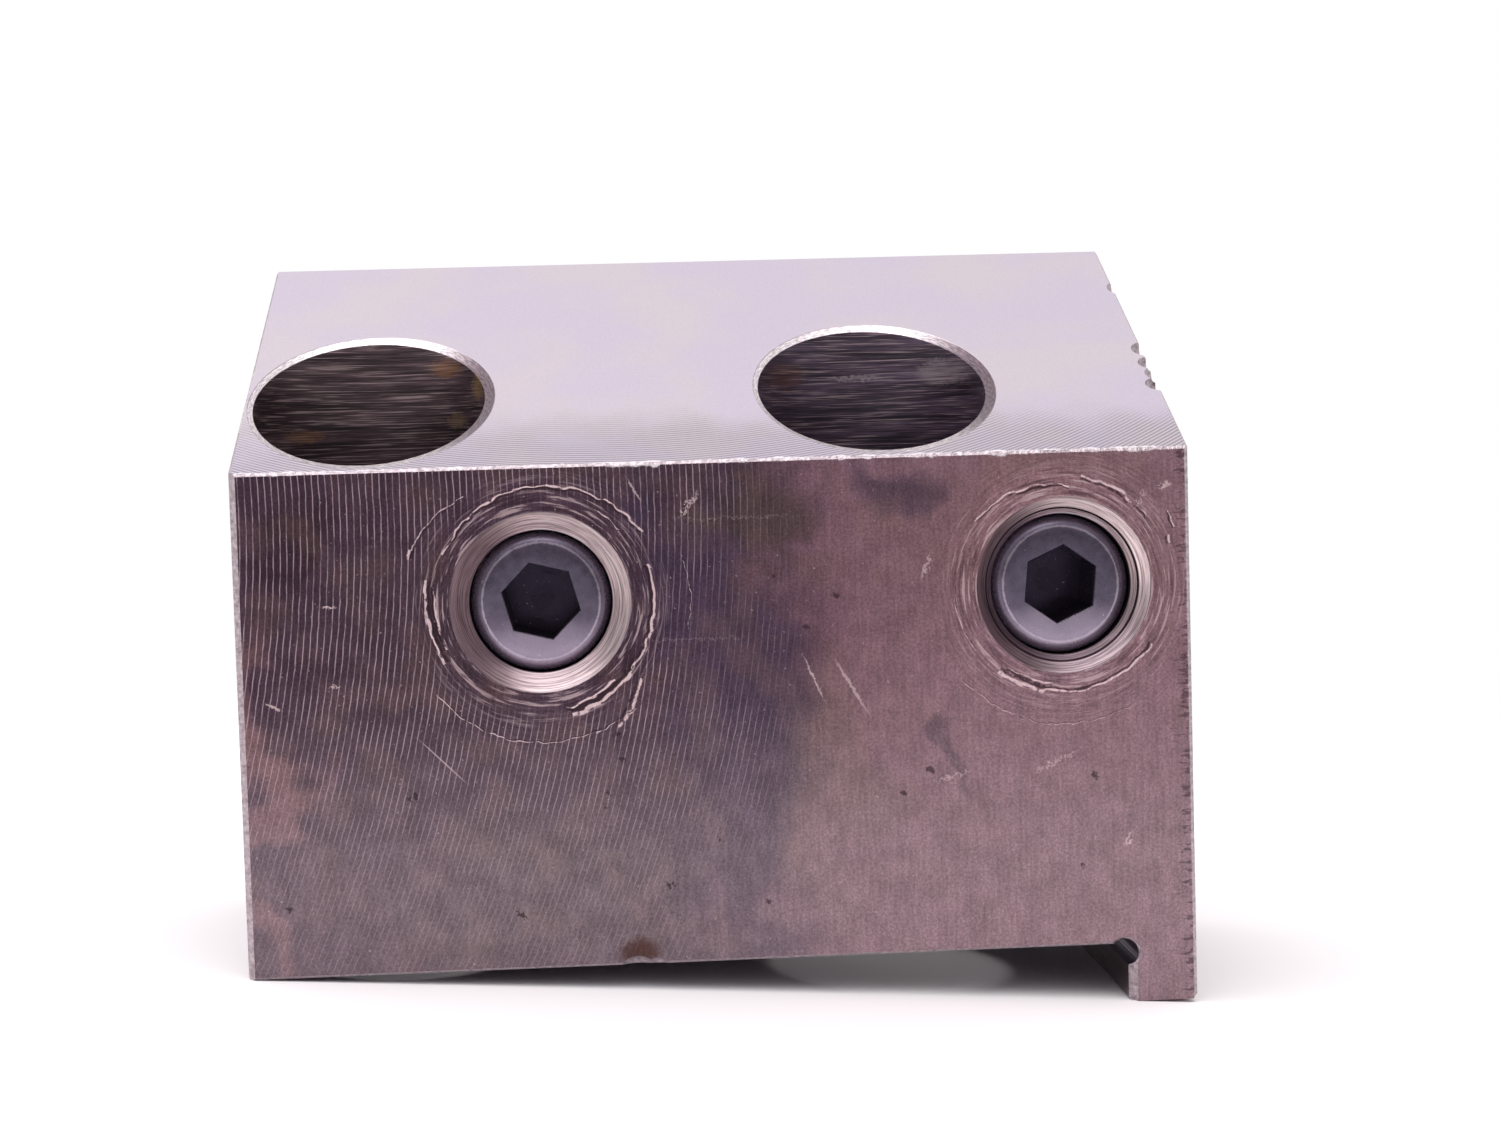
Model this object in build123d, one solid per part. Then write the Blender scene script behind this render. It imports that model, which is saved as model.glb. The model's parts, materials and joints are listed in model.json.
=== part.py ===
from build123d import *
import os
from math import cos, radians, sin, sqrt, tan

# A steel holder for two boring bars. It sits on its seat, with a locating lip hanging over the
# right edge of the machine's slide. The origin is the seat's middle, +X is to the right, the
# front face looks along -Y and +Z is up. Depths are measured back from the front face.

# Block
block_width = 101.6
block_depth = 45.5
front_height = 53.4
top_incline = 28.1
lip_thickness = 7.4
lip_drop = 6.3
relief_radius = 1.5
relief_into_block = 0.5
relief_into_lip = 1.0
relief_rim_break = 0.25

# Edge breaks, as the file and the years of use left them
front_left_break = 0.75
front_right_break = 0.45
back_corner_break = 0.5
top_side_break = 0.2
top_front_break = 0.22
top_back_break = 0.35
seat_edge_break = 0.25
lip_corner_break = 0.5
lip_front_break = 0.85
lip_inner_break = 0.3

# Bores for the bars
bore_diameter = 25.4
bore_left_wall = 0.9
bore_front_wall = 1.95
bore_spacing = 55.8
bore_foot_break = 0.3
mouth_depth = 0.4
mouth_widening = 0.9
mouth_lengthening = 1.15
mouth_shift_right = 0.3
mouth_shift_forward = 0.33

# Clamp screws: socket head cap screws with a 3/8 inch thread, one to the right of each bore
clamp_below_top_edge = 14.4
bar_to_shank = 1.04
head_recess = 1.975
head_diameter = 14.8
head_height = 9.525
head_flat_diameter = 12.5
head_edge_drop = 0.85
head_taper_height = 4.2
bar_clearance = 0.15
shank_diameter = 9.525
shank_length = 31.75
shank_end_break = 1.0
thread_pitch = 1.5875
hex_across_flats = 7.36
hex_depth = 8.4
hex_turns = {"left": -14.5, "right": 24.3}
dimple_diameter = 2.7
dimple_depth = 0.6

# Stepped holes of the clamps
clamp_hole_diameter = 15.2
left_mouth_diameter = 19.2
right_mouth_diameter = 18.9
right_mouth_step_diameter = 16.5
right_mouth_depth = 2.0
web_thickness = 3.5
web_clearance = 0.2
back_hole_break = 0.6

# Wedge nuts, drawn forward against the bars. Half a turn of the screw takes up the last gap.
wedge_length = 20.0
wedge_clearance = 0.05
wedge_front_break = 0.4
wedge_back_break = 0.8
scallop_clearance = 0.05
thread_clearance = 0.05
tightening_turns = 0.5
stop_clearance = 0.2

# Tapped holes in the seat, for the bolts that hold the block down
seat_bolt_spacing = 56.0
seat_bolt_from_back = 9.0
seat_bolt_drill = 10.716
seat_bolt_depth = 22.0
seat_bolt_mouth_break = 0.5
drill_point_angle = 118.0

# Knocks on the edges: the middle of each, the radius of its hollow and how deep it goes.
# Those on the right top edge are placed by their depth behind the front face.
right_edge_knocks = ((35.1, 2.2, 0.55), (20.6, 1.9, 1.1), (17.6, 1.5, 1.15), (15.0, 2.0, 0.8),
                     (13.0, 1.6, 1.45))
seat_edge_knocks = ((-9.6, 2.6, 0.75), (-7.6, 2.0, 0.5))

# Sizes that follow from the ones above
slope = radians(top_incline)
front_y = -block_depth / 2
back_y = block_depth / 2
left_x = -block_width / 2
right_x = block_width / 2
lip_x = right_x - lip_thickness
bore_radius = bore_diameter / 2
bore_behind_front = bore_front_wall + bore_radius
bore_y = front_y + bore_behind_front
left_bore_x = left_x + bore_left_wall + bore_radius
bore_xs = {"left": left_bore_x, "right": left_bore_x + bore_spacing}
shank_radius = shank_diameter / 2
clamp_offset = bore_radius + bar_to_shank + shank_radius
clamp_height = front_height - clamp_below_top_edge
head_seat_depth = head_recess + head_height
web_back_depth = head_seat_depth + web_thickness
wedge_front_depth = web_back_depth + tightening_turns * thread_pitch + stop_clearance
overrun = 1.0


def height_at(y):
    """Height of the inclined top above the seat."""
    return front_height + (y - front_y) * tan(slope)


def upright(x, y, z):
    """A plane that looks out of the front, with its own X to the right and its own Y up."""
    return Plane(origin=(x, y, z), x_dir=(1, 0, 0), z_dir=(0, -1, 0))


def incline(x, y):
    """The top's own plane, with its origin above a point of the seat."""
    return Plane(origin=(x, y, height_at(y)), x_dir=(1, 0, 0), z_dir=(0, -sin(slope), cos(slope)))


def turned(outline, side):
    """A solid of revolution on a clamp's axis, from (radius, depth) points."""
    middle = (bore_xs[side] + clamp_offset, front_y, clamp_height)
    section_plane = Plane(origin=middle, x_dir=(1, 0, 0), z_dir=(0, 0, 1))
    section = section_plane * make_face(Polyline(*outline, close=True))
    return revolve(section, Axis(middle, (0, 1, 0)), 360)


def bored(outline, x, y):
    """A solid of revolution on an upright axis, from (radius, height) points."""
    section = upright(x, y, 0) * make_face(Polyline(*outline, close=True))
    return revolve(section, Axis((x, y, 0), (0, 0, 1)), 360)


def plain_block():
    """The block with its lip, the relief in the lip's corner and the inclined top."""
    top = height_at(back_y) + overrun
    outline = make_face(Polyline(
        (left_x, 0), (lip_x, 0), (lip_x, -lip_drop), (right_x, -lip_drop), (right_x, top),
        (left_x, top), close=True,
    ))
    relief_middle = Pos(lip_x + relief_into_lip - relief_radius, relief_into_block - relief_radius)
    front = upright(0, front_y, 0)
    solid = extrude(front * (outline - relief_middle * Circle(relief_radius)), amount=-block_depth)
    rim = front * relief_middle * Circle(relief_radius + relief_rim_break)
    solid -= extrude(rim, amount=-relief_rim_break, taper=45)
    return split(solid, bisect_by=incline(0, front_y), keep=Keep.BOTTOM)


def edge_breaks(solid):
    """Takes the sharpness off every outer edge, each found by a point on it."""
    middle = front_height / 2
    lip_middle = (relief_into_block - 2 * relief_radius - lip_drop) / 2
    breaks = (
        ((left_x, front_y, middle), front_left_break),
        ((right_x, front_y, middle), front_right_break),
        ((left_x, back_y, middle), back_corner_break),
        ((right_x, back_y, middle), back_corner_break),
        ((left_x, 0, height_at(0)), top_side_break),
        ((right_x, 0, height_at(0)), top_side_break),
        ((0, front_y, front_height), top_front_break),
        ((0, back_y, height_at(back_y)), top_back_break),
        ((left_x, 0, 0), seat_edge_break),
        ((0, front_y, 0), seat_edge_break),
        ((0, back_y, 0), seat_edge_break),
        ((right_x, 0, -lip_drop), lip_corner_break),
        ((lip_x, front_y, lip_middle), lip_front_break),
        ((lip_x, 0, -lip_drop), lip_inner_break),
    )
    for point, size in breaks:
        solid = chamfer(solid.edges().sort_by_distance(point)[0], size)
    return solid


def bore_cutter(x):
    """A bar's bore, square to the seat, with its foot broken."""
    top = height_at(back_y) + overrun
    foot = bore_radius + bore_foot_break + overrun
    outline = (
        (0, -overrun), (foot, -overrun), (bore_radius, bore_foot_break), (bore_radius, top), (0, top),
    )
    return bored(outline, x, bore_y)


def mouth_cutter(x):
    """The hand-cut mouth on the incline: widest at its lower side."""
    wall = (bore_radius, bore_radius / cos(slope), 0, -mouth_depth * tan(slope))
    rim = (
        bore_radius + mouth_widening, (bore_radius + mouth_lengthening) / cos(slope),
        mouth_shift_right, -mouth_shift_forward / cos(slope),
    )
    above = tuple(2 * outer - inner for outer, inner in zip(rim, wall))
    sections = []
    for level, (across, up, shift_x, shift_y) in ((-mouth_depth, wall), (mouth_depth, above)):
        sections.append(incline(x, bore_y).offset(level) * Pos(shift_x, shift_y) * Ellipse(across, up))
    return loft(sections, ruled=True)


def clamp_cutter(side):
    """A clamp's stepped hole: the head's hole, the web's hole and the wedge nut's hole."""
    wide = clamp_hole_diameter / 2
    narrow = shank_radius + web_clearance
    if side == "left":
        cone = left_mouth_diameter / 2
        mouth = ((cone + overrun, -overrun), (wide, cone - wide))
    else:
        cone = right_mouth_diameter / 2
        step = right_mouth_step_diameter / 2
        mouth = ((cone + overrun, -overrun), (step, cone - step), (wide, right_mouth_depth))
    end = block_depth + overrun
    outline = (
        (0, -overrun), *mouth, (wide, head_seat_depth), (narrow, head_seat_depth),
        (narrow, web_back_depth), (wide, web_back_depth), (wide, block_depth - back_hole_break),
        (wide + back_hole_break + overrun, end), (0, end),
    )
    return turned(outline, side)


def seat_bolt_cutter(x):
    """A tapped hole's drilling, with its point and its broken mouth."""
    radius = seat_bolt_drill / 2
    point = radius / tan(radians(drill_point_angle / 2))
    outline = (
        (0, -overrun), (radius + seat_bolt_mouth_break + overrun, -overrun),
        (radius, seat_bolt_mouth_break), (radius, seat_bolt_depth), (0, seat_bolt_depth + point),
    )
    return bored(outline, x, back_y - seat_bolt_from_back)


def knocks():
    """The hollows that knocks left in the right top edge and in the seat's front edge."""
    hollows = []
    for depth, radius, into in right_edge_knocks:
        y = front_y + depth
        out = (radius - into) / sqrt(2)
        hollows.append(Pos(right_x + out, y, height_at(y) + out) * Sphere(radius))
    for x, radius, into in seat_edge_knocks:
        out = (radius - into) / sqrt(2)
        hollows.append(Pos(x, front_y - out, -out) * Sphere(radius))
    return hollows


def block():
    """The whole block."""
    solid = edge_breaks(plain_block())
    for side, x in bore_xs.items():
        solid -= bore_cutter(x)
        solid -= mouth_cutter(x)
        solid -= clamp_cutter(side)
    for x in (-seat_bolt_spacing / 2, seat_bolt_spacing / 2):
        solid -= seat_bolt_cutter(x)
    for hollow in knocks():
        solid -= hollow
    return solid


def clamp_screw(side):
    """A socket head cap screw, its head tapered towards the seat so that a bar can pass."""
    head = head_diameter / 2
    end = head_seat_depth + shank_length
    bar_reach = sqrt(bore_radius ** 2 - (bore_behind_front - head_seat_depth) ** 2)
    seat_radius = min(head, clamp_offset - bar_reach - bar_clearance)
    outline = (
        (0, head_recess), (head_flat_diameter / 2, head_recess), (head, head_recess + head_edge_drop),
        (head, head_seat_depth - head_taper_height), (seat_radius, head_seat_depth),
        (shank_radius, head_seat_depth), (shank_radius, end - shank_end_break),
        (shank_radius - shank_end_break, end), (0, end),
    )
    solid = turned(outline, side)

    head_plane = upright(bore_xs[side] + clamp_offset, front_y + head_recess, clamp_height)
    hexagon = RegularPolygon(hex_across_flats / 2, 6, major_radius=False, rotation=hex_turns[side])
    solid -= extrude(head_plane * hexagon, amount=-hex_depth)

    floor = head_recess + hex_depth
    dimple = dimple_diameter / 2
    solid -= turned(
        ((0, floor - overrun), (dimple, floor - overrun), (dimple, floor), (0, floor + dimple_depth)),
        side,
    )
    return solid


def wedge_nut(side):
    """A round nut in the back hole, hollowed on its left to fit the bar."""
    outer = clamp_hole_diameter / 2 - wedge_clearance
    inner = shank_radius + thread_clearance
    front = wedge_front_depth
    back = front + wedge_length
    outline = (
        (inner, front), (outer - wedge_front_break, front), (outer, front + wedge_front_break),
        (outer, back - wedge_back_break), (outer - wedge_back_break, back), (inner, back),
    )
    scallop = Cylinder(bore_radius + scallop_clearance, 2 * clamp_hole_diameter)
    return turned(outline, side) - Pos(bore_xs[side], bore_y, clamp_height) * scallop


os.makedirs("parts", exist_ok=True)
export_step(block(), "parts/block.step")
for side in bore_xs:
    export_step(clamp_screw(side), f"parts/clamp_screw_{side}.step")
    export_step(wedge_nut(side), f"parts/wedge_nut_{side}.step")
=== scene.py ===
# %% [markdown]
# # A steel holder for two boring bars
# The holder is a block of tool steel with two bores that look out of its sloping top. A black cap
# screw sits in a stepped hole beside each bore, and draws a round nut against the bar. This lesson
# dresses that model: the light it was seen in, the steel with its cutter marks and scars, and the
# two cap screws with their threads. It starts with the frame, which tells where the pieces are.

# %% Load the frame
import bpy
import json
from math import cos, degrees, pi, radians, sin, sqrt
from mathutils import Matrix, Vector


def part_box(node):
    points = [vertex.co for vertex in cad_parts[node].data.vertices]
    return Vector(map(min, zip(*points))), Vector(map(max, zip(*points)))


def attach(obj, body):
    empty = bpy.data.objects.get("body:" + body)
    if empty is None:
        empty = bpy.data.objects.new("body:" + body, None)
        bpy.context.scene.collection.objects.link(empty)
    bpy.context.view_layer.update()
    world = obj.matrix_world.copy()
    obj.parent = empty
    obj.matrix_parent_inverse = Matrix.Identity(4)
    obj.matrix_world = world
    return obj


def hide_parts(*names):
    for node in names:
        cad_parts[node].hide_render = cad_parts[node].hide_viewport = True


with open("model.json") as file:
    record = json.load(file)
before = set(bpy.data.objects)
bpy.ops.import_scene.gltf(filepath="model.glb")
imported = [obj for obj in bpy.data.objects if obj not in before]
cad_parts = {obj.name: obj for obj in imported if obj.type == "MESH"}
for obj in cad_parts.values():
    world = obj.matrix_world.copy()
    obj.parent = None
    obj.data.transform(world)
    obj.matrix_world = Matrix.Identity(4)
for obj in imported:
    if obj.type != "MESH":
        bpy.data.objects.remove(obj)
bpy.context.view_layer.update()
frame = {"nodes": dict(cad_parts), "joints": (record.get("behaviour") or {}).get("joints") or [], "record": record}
bpy.ops.object.select_all(action="DESELECT")

# %% [markdown]
# ## Sizes
# A machinist thinks of this block in millimetres, and Blender counts in metres, so one value turns
# the first into the second. The faces, the bores and the screws' axes come from the frame. What it
# doesn't tell, such as the slope of the top and the sizes of the holes, is written here.

# %% Sizes in millimetres
MM = 0.001
block_low, block_high = (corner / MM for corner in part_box("block"))
front_y = block_low.y
mounts = {mount["name"]: Vector(mount["pos_m"]) / MM for mount in frame["record"]["mounts"]}
bores = {side: mounts["bore_" + side] for side in ("left", "right")}
clamps = {
    joint["child"].replace("clamp_screw_", ""): Vector(joint["pos_m"]) / MM
    for joint in frame["joints"] if joint["child"].startswith("clamp_screw")
}
lip_inner_x = mounts["lip_face"].x
seat_bolt = Vector((28.0, 13.75, 0.0))
seat_bolt_radius = 5.4
bolt_hole_reach = 30.0
relief_middle = Vector((lip_inner_x - 0.5, 0, -1.0))
relief_radius = 1.5
bore_radius = 12.7
mouth_radius = 14.8
mouth_foot = 50.0
cone_radius = 9.6
screw_hole_radius = 7.6
front_height = 53.4
slope = radians(28.1)
print("Bores at x", [round(bore.x, 1) for bore in bores.values()])
print("Screws at x", [round(clamp.x, 1) for clamp in clamps.values()])

# %% [markdown]
# ## The camera
# The camera stands a little higher than the front edge of the top and looks slightly down. Its place
# and its turn were found by fitting the block's edges, so they are written as a place and two
# directions. The lens is a little longer than a normal one on a full-frame sensor.

# %% Camera
camera_place = Vector((-11.42, -273.05, 56.81)) * MM
camera_forward = Vector((0.05961, 0.99660, -0.05689)).normalized()
camera_up = Vector((0.03250, 0.05503, 0.99796))
lens = 56.9

camera_right = camera_forward.cross(camera_up).normalized()
camera_up = camera_right.cross(camera_forward)
camera_turn = Matrix((camera_right, camera_up, -camera_forward)).transposed()
camera = bpy.data.objects.new("camera", bpy.data.cameras.new("camera"))
bpy.context.scene.collection.objects.link(camera)
camera.matrix_world = Matrix.Translation(camera_place) @ camera_turn.to_4x4()
camera.data.lens = lens
camera.data.clip_start = 0.01
bpy.context.scene.camera = camera
bpy.context.scene.view_settings.view_transform = "Standard"
print("Camera is", round(camera_place.length / MM), "mm away")

# %% [markdown]
# ## Nodes and colours
# A material is a small machine of nodes. One helper adds a node, gives it its settings and joins it
# up, so that each finish reads as a list of what it is made of. Colours are written as they look on
# a screen, and a second helper turns them into the linear light that the shaders count in.
#
# Settings that many nodes share get a name too. A smooth step needs no clamp. The steel's colours
# are mixed as vectors, which takes less of a shader's room than a mix of colours. A shaded colour is
# such a mix from black that may go beyond 1.

# %% Helpers for materials
def add(tree, kind, inputs, out=0, **settings):
    """Adds one shader node, fills its inputs with values or other outputs, and returns an output."""
    made = tree.nodes.new("ShaderNode" + kind)
    for name, value in settings.items():
        setattr(made, name, value)
    for name, value in inputs.items():
        if isinstance(value, bpy.types.NodeSocket):
            tree.links.new(value, made.inputs[name])
        else:
            socket = made.inputs[name]
            socket.default_value = (*value, 1.0) if socket.type == "RGBA" else value
    return made.outputs[out] if made.outputs else made


def linear(hex_colour):
    """An sRGB hex colour as linear red, green and blue."""
    shown = [int(hex_colour[i:i + 2], 16) / 255 for i in (1, 3, 5)]
    return [c / 12.92 if c <= 0.04045 else ((c + 0.055) / 1.055) ** 2.4 for c in shown]


def empty_material(name):
    """A material with a bare node tree."""
    made = bpy.data.materials.new(name)
    made.use_nodes = True
    made.node_tree.nodes.clear()
    return made


smooth = {"interpolation_type": "SMOOTHSTEP", "clamp": False}
flat = {"noise_dimensions": "2D"}
along_way = {"out": "Value", "operation": "DOT_PRODUCT"}
as_rgba = {"out": 2, "data_type": "RGBA"}
as_colour = {"out": 1, "data_type": "VECTOR"}
shaded = {**as_colour, "clamp_factor": False}
black = (0, 0, 0)
print("Mid grey #808080 is", round(linear("#808080")[0], 3), "in linear light")

# %% [markdown]
# ## The studio
# The block stands on white paper under a broad soft light, with a white wall behind it and a dim
# room in front. That room is what makes the front face dark while the top shines. The world does
# most of this: it is white behind and above, and grey towards the front. Where the camera looks
# past the block it sees plain white.

# %% World
room_grey = linear("#8c8689")
wall_white = linear("#ffffff")

world = bpy.data.worlds.new("studio")
bpy.context.scene.world = world
world.use_nodes = True
tree = world.node_tree
tree.nodes.clear()
direction = add(tree, "TexCoord", {}, out="Generated")
backness = add(tree, "VectorMath", {0: direction, 1: (0, 0.8, 0.6)}, **along_way)
bright = add(tree, "MapRange", {"Value": backness, "From Min": -0.85, "From Max": 0.1}, **smooth)
seen = add(tree, "LightPath", {}, out="Is Camera Ray")
white = add(tree, "Math", {0: bright, 1: seen}, operation="MAXIMUM")
shade = add(tree, "Mix", {0: white, 6: room_grey, 7: wall_white}, **as_rgba)
background = add(tree, "Background", {"Color": shade, "Strength": 1.0})
add(tree, "OutputWorld", {"Surface": background})
print("The room's light is made by", len(tree.nodes), "nodes")

# %% [markdown]
# ## The paper
# The block doesn't lie flat on its seat. Its left bottom edge and the inner corner of its lip touch
# the paper, so the paper is tilted a little against the block. The paper is a plane with a matt white
# finish. Far from the block it glows white to the camera and in reflections, so no horizon shows,
# and from below it is clear, so that the seat can be looked at.

# %% Paper and softbox
seat_edge_break = 0.25
lip_inner_break = 0.3
rest_left = Vector((block_low.x + seat_edge_break, 0, 0))
rest_right = Vector((lip_inner_x + lip_inner_break, 0, block_low.z))
paper_middle = (rest_left + rest_right) / 2 * MM
paper_tilt = (rest_right - rest_left).to_track_quat("X", "Z")

bpy.ops.mesh.primitive_plane_add(size=6.0, location=paper_middle, rotation=paper_tilt.to_euler())
paper = bpy.context.object
paper.name = "paper"
bpy.ops.object.transform_apply(location=True, rotation=True, scale=True)

paper_white = empty_material("white_paper")
tree = paper_white.node_tree
matt = add(tree, "BsdfDiffuse", {"Color": linear("#fbf6f8")})
glow = add(tree, "Emission", {"Color": linear("#ffffff"), "Strength": 1.0})
clear = add(tree, "BsdfTransparent", {})
distance = add(tree, "TexCoord", {}, out="Object")
distance = add(tree, "VectorMath", {0: distance}, out=1, operation="LENGTH")
far = add(tree, "MapRange", {"Value": distance, "From Min": 0.12, "From Max": 0.35}, **smooth)
light_path = add(tree, "LightPath", {}).node.outputs
shown = add(tree, "Math", {
    0: light_path["Is Camera Ray"], 1: light_path["Is Glossy Ray"]}, operation="MAXIMUM")
shown = add(tree, "Math", {0: shown, 1: light_path["Is Transmission Ray"]}, operation="MAXIMUM")
glowing = add(tree, "Math", {0: far, 1: shown}, operation="MULTIPLY")
top_side = add(tree, "MixShader", {0: glowing, 1: matt, 2: glow})
under = add(tree, "NewGeometry", {}, out="Backfacing")
see_through = add(tree, "Math", {0: under, 1: light_path["Is Camera Ray"]}, operation="MULTIPLY")
both = add(tree, "MixShader", {0: see_through, 1: top_side, 2: clear})
add(tree, "OutputMaterial", {"Surface": both})
paper.data.materials.append(paper_white)

softbox = bpy.data.objects.new("softbox", bpy.data.lights.new("softbox", "AREA"))
bpy.context.scene.collection.objects.link(softbox)
softbox.data.shape = "RECTANGLE"
softbox.data.size = 0.9
softbox.data.size_y = 0.7
softbox.data.energy = 4.0
softbox.location = (-0.15, -0.25, 0.75)
softbox.rotation_euler = (paper_middle - softbox.location).to_track_quat("-Z", "Y").to_euler()
print("Paper tilts", round(degrees(paper_tilt.angle), 2), "degrees")

# %% [markdown]
# ## The block's steel: where is a point?
# The whole block is one piece of tool steel, so it gets one material, and the material finds out
# which surface a point is on. Object coordinates are the block's own millimetres. A dot product
# gives the way along a direction. From these come flat maps of the front and of the sloping top, and
# for the nearer bore and the nearer screw the distance and the bearing from its axis. The normal
# tells the broken edges from the flat faces.

# %% Places on the block
steel = empty_material("milled_tool_steel")
tree = steel.node_tree
own = add(tree, "TexCoord", {}).node.outputs
place = add(tree, "Mapping", {"Vector": own["Object"], "Scale": (1 / MM, 1 / MM, 1 / MM)})
slope_normal = (0, -sin(slope), cos(slope))
directions = ((1, 0, 0), (0, 1, 0), (0, 0, 1), slope_normal)
x, y, z, along_normal = [
    add(tree, "VectorMath", {0: place, 1: direction}, **along_way) for direction in directions]
depth = add(tree, "Math", {0: y, 1: front_y}, operation="SUBTRACT")
up_slope = add(tree, "Math", {0: depth, 1: cos(slope)}, operation="DIVIDE")
slope_height = front_height * cos(slope) - front_y * sin(slope)
above_top = add(tree, "Math", {0: along_normal, 1: slope_height}, operation="SUBTRACT")
front_map = add(tree, "Mapping", {"Vector": place, "Rotation": (-pi / 2, 0, 0), "Scale": (1, 0, 1)})
top_map = add(tree, "Mapping", {
    "Vector": place, "Location": (0, -front_y / cos(slope), 0), "Scale": (1, 1 / cos(slope), 0)})


def nearest_axis(tree, across, upward, right_half, axes, seam):
    """Distance and bearing, counted in radians from the seam, from the nearer of two axes."""
    middle = add(tree, "Mix", {0: right_half, 2: axes["left"][0], 3: axes["right"][0]})
    across = add(tree, "Math", {0: across, 1: middle}, operation="SUBTRACT")
    upward = add(tree, "Math", {0: upward, 1: axes["left"][1]}, operation="SUBTRACT")
    bearing = add(tree, "Math", {0: upward, 1: across}, operation="ARCTAN2")
    bearing = add(tree, "Math", {0: bearing, 1: seam + 2 * pi, 2: seam}, operation="WRAP")
    squared = add(tree, "Math", {0: across, 1: across}, operation="MULTIPLY")
    squared = add(tree, "Math", {0: upward, 1: upward, 2: squared}, operation="MULTIPLY_ADD")
    return add(tree, "Math", {0: squared}, operation="SQRT"), bearing


scar_seam = radians(-144)
halfway = (clamps["left"].x + bores["right"].x) / 2
on_right = add(tree, "Math", {0: x, 1: halfway}, operation="GREATER_THAN")
from_bore, bore_bearing = nearest_axis(
    tree, x, y, on_right, {side: (bore.x, bore.y) for side, bore in bores.items()}, -pi / 2)
from_clamp, clamp_bearing = nearest_axis(
    tree, x, z, on_right, {side: (clamp.x, clamp.z) for side, clamp in clamps.items()}, scar_seam)

squareness = 0.0
for direction in directions:
    along = add(tree, "VectorMath", {0: own["Normal"], 1: direction}, **along_way)
    along = add(tree, "Math", {0: along}, operation="ABSOLUTE")
    squareness = add(tree, "Math", {0: along, 1: squareness}, operation="MAXIMUM")
print(len(tree.nodes), "nodes find the places")

# %% [markdown]
# ## Marks by name
# Years of use left single marks. Stains and straight scratches are ovals on a face, so one function
# draws an oval of a given size and tilt with a soft edge. The maps that the ovals lie on carry a 1
# as their third number, so one dot product can turn, shift and scale them. A second function draws
# a scratch that runs round a screw, where a key slipped or a chip was dragged. Such a scratch has a
# raised burr beside a furrow, and its profile is one wave of a sine, from which the burr's painted
# highlight and the furrow's painted shade are drawn into the colour.

# %% Helpers for marks
def oval(tree, face_map, middle, size, tilt=0.0, edge=0.3, strength=1.0):
    """An oval on a face: strength inside and 0 outside. Sizes are in mm, and tilt in degrees."""
    squared = 0.0
    for turn, length in ((tilt, size[0]), (tilt + 90, size[1])):
        way = Vector((cos(radians(turn)), sin(radians(turn))))
        turned = (*way, -way.dot(Vector(middle)))
        off = add(tree, "VectorMath", {0: face_map, 1: Vector(turned) / (length / 2)}, **along_way)
        squared = add(tree, "Math", {0: off, 1: off, 2: squared}, operation="MULTIPLY_ADD")
    return add(tree, "MapRange", {"Value": squared, "From Min": (1 + edge) ** 2,
                                  "From Max": (1 - edge) ** 2, "To Max": strength}, **smooth)


def round_scratch(tree, radius, bearing, start, end, width):
    """A scratch round a screw, from one (bearing in degrees, radius) to another: burr minus furrow."""
    middle = radians((start[0] + end[0]) / 2)
    course = add(tree, "MapRange", {"Value": bearing, "From Min": radians(start[0]), "To Min": start[1],
                                    "From Max": radians(end[0]), "To Max": end[1]}, clamp=False)
    off = add(tree, "Math", {0: radius, 1: course}, operation="SUBTRACT")
    phase = add(tree, "MapRange", {
        "Value": off, "From Min": -width, "From Max": width, "To Min": -pi, "To Max": pi}, **smooth)
    wave = add(tree, "Math", {0: phase}, operation="SINE")
    reach = add(tree, "Math", {
        0: bearing, 1: middle, 2: abs(radians(end[0]) - middle)}, operation="COMPARE")
    return add(tree, "Math", {0: wave, 1: reach}, operation="MULTIPLY")


# %% [markdown]
# ## The front: colour
# The front was milled and then darkened by oil and heat, and its dark tones also carry painted shade,
# as the same steel is much paler on the top. It is purple-black on the left and turns to a warmer
# mauve on the right, with a few stains, and it turns paler and lighter towards its foot. The change
# between the tones wanders, so a slow noise shifts the map before the stains are placed on it.

# %% Front colour
# The front's dark tones are partly painted shade from the dim room in front; the same steel is pale on the top.
left_steel = linear("#4a3845")
middle_steel = linear("#7e606b")
right_steel = linear("#8e6f79")
brown_film = linear("#7d6258")
foot_steel = linear("#8f8286")

slow = add(tree, "TexNoise", {"Vector": front_map, "Scale": 0.07, "Detail": 3.0}, **flat)
shift = add(tree, "MapRange", {"Value": slow, "To Min": -8.0, "To Max": 8.0}, **smooth)
stain_x = add(tree, "Math", {0: x, 1: shift}, operation="ADD")
stain_z = add(tree, "Math", {0: z, 1: shift}, operation="SUBTRACT")
stain_map = add(tree, "CombineXYZ", {0: stain_x, 1: stain_z, 2: 1.0})
to_middle = add(tree, "MapRange", {"Value": stain_x, "From Min": -2.0, "From Max": 12.0}, **smooth)
to_right = add(tree, "MapRange", {"Value": stain_x, "From Min": 8.0, "From Max": 34.0}, **smooth)
front_colour = add(tree, "Mix", {0: to_middle, 4: left_steel, 5: middle_steel}, **as_colour)
front_colour = add(tree, "Mix", {0: to_right, 4: front_colour, 5: right_steel}, **as_colour)

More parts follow.
